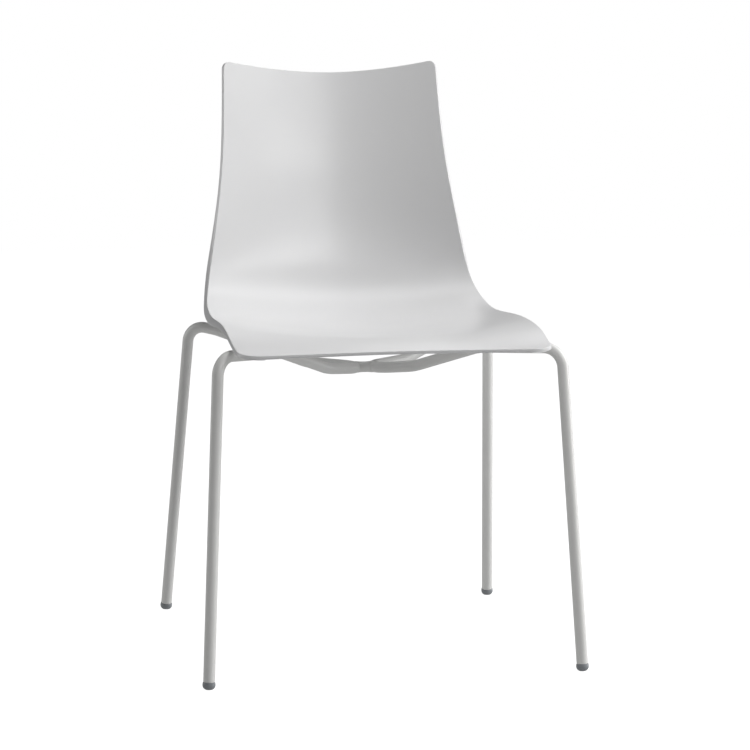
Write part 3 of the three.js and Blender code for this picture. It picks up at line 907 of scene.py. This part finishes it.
@dataclass
class Fixing:
    """One screwed joint between an arm and the seat: post, insert, lug, washer and screw.

    Places are worked out for the right side of the chair and mirrored to the left.
    """

    end: End
    frame: TubeFrame
    shell: SeatShell
    plate: float = 3.0
    plate_half: float = 13.0
    hole: float = 3.3
    gap: float = 0.3
    post_tip: float = 8.5
    post_root: float = 11.0
    post_fillet: float = 5.0
    web_reach: float = 24.0
    web_half: float = 1.5
    web_start: float = 6.0
    insert_radius: float = 4.6
    insert_length: float = 12.0
    shank: float = 2.7
    screw_length: float = 17.0
    head: float = 5.4
    head_height: float = 3.2
    key: float = 2.0
    washer: float = 7.0
    washer_thickness: float = 1.5

    def __post_init__(self) -> None:
        """Find the screw's axis and the arm beside it."""
        low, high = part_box(f"fixing_lug_{self.end.value}_right")
        self.level = (low.z + high.z) / 2 / MM
        low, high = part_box(f"screw_{self.end.value}_right")
        self.axis = Vector(((low.x + high.x) / 2, (low.y + high.y) / 2, 0)) / MM
        corners = self.frame.front_dip if self.end is End.FRONT else self.frame.rear_dip[::-1]
        self.run = (Vector(corners[1]) - Vector(corners[0])).normalized()
        flat = Vector((self.run.x, self.run.y, 0)).normalized()
        offset = self.axis - Vector((corners[0][0], corners[0][1], 0))
        self.aside = (offset - offset.dot(flat) * flat).normalized()
        self.reach = (offset - offset.dot(flat) * flat).length

    def placed(self, part: tuple, turn: float = 0.0) -> tuple:
        """Move a part made about the Z axis to the screw's axis, turned by an angle."""
        points, faces = part
        spin = np.array(Matrix.Rotation(turn, 3, "Z"))
        return points @ spin.T + np.array(self.axis), faces

    def name(self, start: str, side: Side) -> str:
        """A piece's or a solid's name at this joint."""
        return f"{start}_{self.end.value}_{side.word}"

    def add(self, start: str, part: tuple, side: Side, finish: Finish, slot: str, node: str) -> None:
        """Make one piece of the joint and let it stand for its solid.

        Args:
            start: first word of the piece's name.
            part: its points and faces on the right side.
            side: the side it goes to.
            finish: its finish.
            slot: not used.
            node: first words of the name of the solid it replaces.
        """
        piece = make_object(self.name(start, side), *mirrored(part, side))
        dress(piece, finish)
        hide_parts(self.name(node, side))

    def post(self) -> list:
        """The post and its four webs, each run into the sheet of the seat."""
        tip = self.level + self.plate / 2 + self.gap
        bore = self.insert_radius + 0.1
        segments = 48
        angles = np.linspace(0, 2 * math.pi, segments, endpoint=False)
        profile = [(0, tip + self.insert_length), (bore, tip + self.insert_length), (bore, tip + 0.3)]
        profile += [(bore + 0.3, tip), (self.post_tip - 0.6, tip), (self.post_tip - 0.2, tip + 0.2)]
        profile.append((self.post_tip, tip + 0.6))
        for turn in np.radians([0, 20, 40, 60, 80]):
            radius = self.post_root + self.post_fillet * (1 - math.cos(turn))
            drop = self.post_fillet * (1 - math.sin(turn))
            x = self.axis.x + radius * np.cos(angles)
            y = self.axis.y + radius * np.sin(angles)
            profile.append((radius, self.shell.underside(x, y) - drop))
        x = self.axis.x + profile[-1][0] * np.cos(angles)
        y = self.axis.y + profile[-1][0] * np.sin(angles)
        profile.append((profile[-1][0], self.shell.underside(x, y) + self.gap))
        root = self.shell.underside(np.array([self.axis.x]), np.array([self.axis.y]))[0]
        profile.append((0, root + 1))
        parts = [self.placed(lathed(profile, segments))]
        parts += [self.web(math.radians(45 + 90 * count), tip) for count in range(4)]
        return parts

    def web(self, turn: float, tip: float) -> tuple:
        """One web beside the post, thin and slightly rounded along its lower edge."""
        outward = np.array([math.cos(turn), math.sin(turn)])
        sideways = np.array([-math.sin(turn), math.cos(turn)])
        start = self.post_tip - 1.5
        top_end = self.shell.underside(
            np.array([self.axis.x + self.web_reach * outward[0]]),
            np.array([self.axis.y + self.web_reach * outward[1]]),
        )[0]
        rings = []
        for share in np.linspace(0, 1, 12):
            out = start + (self.web_reach - start) * share
            middle = np.array([self.axis.x, self.axis.y]) + outward * out
            top = self.shell.underside(middle[:1], middle[1:])[0] + 1.0
            low = tip + self.web_start + (top_end - 0.4 - tip - self.web_start) * share
            half, soft = self.web_half, 0.5
            ring = []
            for across, height in (
                (half, top),
                (half, low + soft),
                (half - 0.15, low + 0.15),
                (half - soft, low),
                (soft - half, low),
                (0.15 - half, low + 0.15),
                (-half, low + soft),
                (-half, top),
            ):
                ring.append([*(middle + sideways * across), height])
            rings.append(np.array(ring))
        return lofted(rings)

    def lug(self) -> tuple:
        """The plate with its two runs of weld on the arm."""
        segments = 72
        turn = math.atan2(self.aside.y, self.aside.x)
        angles = np.linspace(0, 2 * math.pi, segments, endpoint=False)
        inner = self.reach - self.frame.radius + 1.1
        straight = self.plate_half / np.maximum(np.abs(np.sin(angles)), 1e-6)
        butt = inner / np.maximum(-np.cos(angles), 1e-6)
        outline = np.where(np.cos(angles) > 0, self.plate_half, np.minimum(straight, butt))
        low, high = self.level - self.plate / 2, self.level + self.plate / 2
        soft = 0.4
        profile = [
            (outline - soft, low),
            (outline - 0.12, low + 0.12),
            (outline, low + soft),
            (outline, high - soft),
            (outline - 0.12, high - 0.12),
            (outline - soft, high),
            (self.hole + 0.3, high),
            (self.hole, high - 0.3),
            (self.hole, low + 0.3),
            (self.hole + 0.3, low),
        ]
        plate = self.placed(lathed(profile, segments, closed=True), turn)
        return joined(plate, self.weld(low - 0.3), self.weld(high + 0.3))

    def weld(self, height: float) -> tuple:
        """One run of weld between the plate and the arm, with the ripples of its passes."""
        ripple_step = 1.8
        length = 2 * self.plate_half + 1
        around = np.linspace(0, 2 * math.pi, 16, endpoint=False)
        middle = self.axis - self.aside * (self.reach - self.frame.radius - 0.2)
        flat = Vector((self.run.x, self.run.y, 0)).normalized()
        rings = []
        for share in np.linspace(-1, 1, 61):
            along = share * length / 2
            taper = math.sqrt(max(1 - share**8, 0.05))
            swell = 1.5 * taper + 0.14 * math.sin(2 * math.pi * along / ripple_step)
            centre = middle + flat * along
            sideways = np.outer(np.cos(around), np.array(self.aside)) * swell
            upward = np.outer(np.sin(around), [0, 0, 1]) * swell * 0.8
            rings.append(np.array([centre.x, centre.y, height]) + sideways + upward)
        return lofted(rings)

    def insert(self) -> tuple:
        """The threaded insert, knurled in two bands."""
        segments = 48
        low = self.level + self.plate / 2 + 2 * self.gap
        high = low + self.insert_length - 3 * self.gap
        middle = (low + high) / 2
        knurl = self.insert_radius - 0.15 * (np.arange(segments) % 2)
        bore = self.shank + 0.05
        profile = [(bore, low), (self.insert_radius - 0.3, low), (knurl, low + 0.3), (knurl, middle - 1)]
        profile += [(self.insert_radius - 0.6, middle - 0.5), (self.insert_radius - 0.6, middle + 0.5)]
        profile += [(knurl, middle + 1), (knurl, high - 0.3), (self.insert_radius - 0.3, high)]
        profile.append((bore, high))
        return self.placed(lathed(profile, segments, closed=True))

    def washer_ring(self) -> tuple:
        """The flat washer, with softened edges."""
        high = self.level - self.plate / 2 - 0.02
        low = high - self.washer_thickness
        bore, soft = self.shank + 0.3, 0.2
        profile = [(bore, low + soft), (bore + soft, low), (self.washer - soft, low)]
        profile += [(self.washer, low + soft), (self.washer, high - soft)]
        profile += [(self.washer - soft, high), (bore + soft, high), (bore, high - soft)]
        return self.placed(lathed(profile, closed=True))

    def screw(self) -> tuple:
        """The button-head screw with its six-sided socket, head down."""
        segments = 48
        seat = self.level - self.plate / 2 - self.washer_thickness - 0.04
        low = seat - self.head_height
        around = np.linspace(0, 2 * math.pi, segments, endpoint=False)
        hexagon = self.key / np.cos(np.mod(around, math.pi / 3) - math.pi / 6)
        floor = low + 2.0
        face = 0.6 * self.head
        profile = [(0, floor + 0.4), (hexagon * 0.95, floor), (hexagon, floor - 0.1), (hexagon, low + 0.2)]
        profile += [(hexagon + 0.2, low)]
        for turn in np.radians(np.arange(0, 91, 10)):
            radius = face + (self.head - face) * math.sin(turn)
            profile.append((radius, seat - 0.6 - (self.head_height - 0.6) * math.cos(turn)))
        profile += [(self.head, seat - 0.15), (self.head - 0.15, seat), (self.shank, seat)]
        top = seat + self.screw_length
        profile += [(self.shank, top - 0.8), (self.shank - 0.8, top), (0, top)]
        return self.placed(lathed(profile, segments), math.pi / 12)

    def make(self, side: Side) -> None:
        """Build the loose pieces of the joint on one side."""
        self.add("lug", self.lug(), side, PAINT_FINISH, "frame_paint", "fixing_lug")
        self.add("insert", self.insert(), side, BRASS_FINISH, "insert", "shell_insert")
        self.add("flat_washer", self.washer_ring(), side, ZINC_FINISH, "fastener", "washer")
        self.add("button_screw", self.screw(), side, ZINC_FINISH, "fastener", "screw")


# ---- studio -------------------------------------------------------------------------------


@dataclass(frozen=True)
class SoftBox:
    """A rectangular soft light on a sphere round the chair, aimed at its middle."""

    name: str
    azimuth: float  # degrees to the right of straight in front
    elevation: float
    power: float  # in watts
    width: float = 1.6
    height: float = 1.6
    distance: float = 3.4
    aim: tuple = (0.0, 0.0, 0.55)

    def make(self) -> bpy.types.Object:
        """Place the light."""
        turn, lift = math.radians(self.azimuth), math.radians(self.elevation)
        toward = Vector((math.sin(turn) * math.cos(lift), -math.cos(turn) * math.cos(lift), math.sin(lift)))
        data = bpy.data.lights.new(self.name, "AREA")
        data.shape = "RECTANGLE"
        data.size, data.size_y = self.width, self.height
        data.energy = self.power
        light = bpy.data.objects.new(self.name, data)
        light.location = Vector(self.aim) + toward * self.distance
        light.rotation_euler = (-toward).to_track_quat("-Z", "Y").to_euler()
        bpy.context.scene.collection.objects.link(light)
        return light


@dataclass
class Studio:
    """Pale floor, soft lights and the camera."""

    azimuth: float = -11.75
    elevation: float = 7.96
    distance: float = 4142.0
    aim: tuple = (20.7, 2.2, 386.0)
    lens: float = 138.2
    ambient: float = 0.055
    floor_glow: float = 0.29
    boxes: tuple = (
        SoftBox("front", 24, 27, 28, 1.2, 1.1),
        SoftBox("key", 56, 45.7, 10.5, 1.1, 1.1),
        SoftBox("side", 86, 35, 56, 1.9, 1.9),
        SoftBox("high", 92, 74, 30, 1.9, 1.9),
        SoftBox("rim", -112, 8, 26, 1.2, 1.8),
        SoftBox("edge", 88, 7, 38, 1.4, 1.5),
        SoftBox("back", 150, 48, 11, 1.8, 1.8),
    )

    def make_camera(self) -> bpy.types.Object:
        """Place the camera on its aim."""
        turn, lift = math.radians(self.azimuth), math.radians(self.elevation)
        back = Vector((math.sin(turn) * math.cos(lift), -math.cos(turn) * math.cos(lift), math.sin(lift)))
        data = bpy.data.cameras.new("camera")
        data.lens = self.lens
        data.clip_end = 100
        camera = bpy.data.objects.new("camera", data)
        camera.location = (Vector(self.aim) + back * self.distance) * MM
        camera.rotation_mode = "QUATERNION"
        camera.rotation_quaternion = (-back).to_track_quat("-Z", "Y")
        bpy.context.scene.collection.objects.link(camera)
        bpy.context.scene.camera = camera
        return camera

    def make_floor(self) -> bpy.types.Object:
        """Lay the pale floor; from below it lets the view through."""
        span = 6000.0
        corners = np.array([[-span, -span, 0], [span, -span, 0], [span, span, 0], [-span, span, 0]])
        floor = make_object("floor", corners, [[0, 1, 2, 3]])
        material = bpy.data.materials.new("white studio floor")
        material.use_nodes = True
        tree = material.node_tree
        tree.nodes.clear()
        speck = add_node(tree, "ShaderNodeTexNoise", {"Scale": 40.0, "Detail": 3.0}).outputs["Fac"]
        gloss = add_node(
            tree, "ShaderNodeMapRange", {"To Min": 0.75, "To Max": 0.9}, {"Value": speck}
        ).outputs["Result"]
        paint = add_node(
            tree,
            "ShaderNodeBsdfPrincipled",
            {"Base Color": (0.2, 0.2, 0.2, 1), "Specular IOR Level": 0.0},
            {"Roughness": gloss},
        ).outputs["BSDF"]
        rays = add_node(tree, "ShaderNodeLightPath").outputs["Is Camera Ray"]
        level = add_node(
            tree, "ShaderNodeMapRange", {"To Min": self.floor_glow, "To Max": 0.99}, {"Value": rays}
        ).outputs["Result"]
        glow = add_node(tree, "ShaderNodeEmission", links={"Strength": level}).outputs[0]
        lit = add_node(tree, "ShaderNodeAddShader")
        tree.links.new(paint, lit.inputs[0])
        tree.links.new(glow, lit.inputs[1])
        clear = add_node(tree, "ShaderNodeBsdfTransparent").outputs["BSDF"]
        below = add_node(tree, "ShaderNodeNewGeometry").outputs["Backfacing"]
        both = add_node(tree, "ShaderNodeMixShader", links={"Fac": below})
        tree.links.new(lit.outputs[0], both.inputs[1])
        tree.links.new(clear, both.inputs[2])
        add_node(tree, "ShaderNodeOutputMaterial", links={"Surface": both.outputs[0]})
        floor.data.materials.append(material)
        return floor

    def make_world(self) -> None:
        """Surround the set with an even white, seen brighter than it lights."""
        world = bpy.data.worlds.new("white studio")
        world.use_nodes = True
        tree = world.node_tree
        tree.nodes.clear()
        seen = add_node(tree, "ShaderNodeLightPath").outputs["Is Camera Ray"]
        strength = add_node(
            tree, "ShaderNodeMapRange", {"To Min": self.ambient, "To Max": 1.0}, {"Value": seen}
        ).outputs["Result"]
        sky = add_node(tree, "ShaderNodeBackground", {"Color": (1, 1, 1, 1)}, {"Strength": strength})
        add_node(tree, "ShaderNodeOutputWorld", links={"Surface": sky.outputs[0]})
        bpy.context.scene.world = world

    def make(self) -> None:
        """Build the whole set."""
        self.make_camera()
        self.make_floor()
        self.make_world()
        for box in self.boxes:
            box.make()
        bpy.context.scene.view_settings.view_transform = "Standard"


def main() -> None:
    """Build the chair and the set round it, in order."""
    logging.basicConfig(level=logging.INFO, format="%(name)s: %(message)s")
    Studio().make()
    shell = SeatShell()
    tubes = TubeFrame()
    fixings = [Fixing(end, tubes, shell) for end in End]
    posts = [mirrored(part, side) for side in Side for fixing in fixings for part in fixing.post()]
    shell.make(posts)
    tubes.make()
    for fixing in fixings:
        for side in Side:
            fixing.make(side)


if __name__ == "__main__":
    main()
